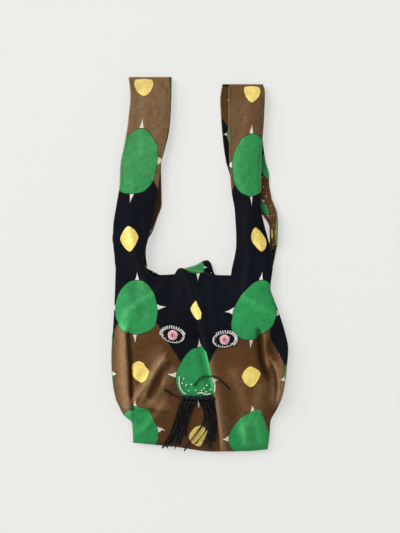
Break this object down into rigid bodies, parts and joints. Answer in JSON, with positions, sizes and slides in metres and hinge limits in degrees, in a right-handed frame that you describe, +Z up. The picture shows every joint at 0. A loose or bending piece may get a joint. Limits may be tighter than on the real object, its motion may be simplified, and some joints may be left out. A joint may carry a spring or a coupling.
{
  "type": "fabric loop-strap pouch bag",
  "caption": "Soft lined cloth bag with an open mouth, two loop straps cut in one with the body, and a sewn-on animal face with a leather goatee, lying on its back.",
  "frame": {"origin": "middle of the base of the cloth's bounding box, on the surface that the bag lies on, laces left out", "axes": "+X across the bag, to the right as its face is seen; +Y from the bottom seam towards the strap tops; +Z up, out of the front"},
  "size_m": [0.319, 0.676, 0.0438],
  "materials": {
    "printed_cotton": "woven cotton printed in brown, navy, green and yellow",
    "lining_cotton": "thin woven cotton with the same print at a smaller scale",
    "black_felt": "matt felt",
    "silver_beads": "silver-white glass-look beads",
    "pink_resin": "moulded pink resin",
    "white_beads": "glossy white beads",
    "white_cord": "white cotton cord",
    "black_leather": "thin soft leather, slight sheen"
  },
  "bodies": {
    "root": {"outer_front": "printed_cotton", "outer_back": "printed_cotton", "lining_front": "lining_cotton", "lining_back": "lining_cotton", "eye_patch_left": "black_felt", "eye_bead_ring_left": "silver_beads", "eye_rose_left": "pink_resin", "eye_patch_right": "black_felt", "eye_bead_ring_right": "silver_beads", "eye_rose_right": "pink_resin", "muzzle_bead_1": "white_beads", "muzzle_bead_2": "white_beads", "muzzle_bead_3": "white_beads", "muzzle_bead_4": "white_beads", "muzzle_bead_5": "white_beads", "muzzle_bead_6": "white_beads", "muzzle_bead_7": "white_beads", "muzzle_bead_8": "white_beads", "muzzle_bead_9": "white_beads", "muzzle_bead_10": "white_beads", "muzzle_bead_11": "white_beads", "muzzle_cord_left": "white_cord", "muzzle_cord_right": "white_cord", "muzzle_cord_lower": "white_cord", "goatee_roll": "black_leather", "lace_low_1": "black_leather", "lace_low_2": "black_leather", "lace_low_3": "black_leather", "lace_low_4": "black_leather", "lace_low_5": "black_leather", "lace_low_6": "black_leather", "lace_low_7": "black_leather", "lace_low_8": "black_leather", "lace_low_9": "black_leather", "lace_top_1": "black_leather", "lace_top_2": "black_leather", "lace_top_3": "black_leather", "lace_top_4": "black_leather", "lace_top_5": "black_leather", "lace_top_6": "black_leather", "lace_top_7": "black_leather", "lace_top_8": "black_leather", "lace_stray_left": "black_leather", "lace_stray_over": "black_leather"}
  },
  "joints": []
}
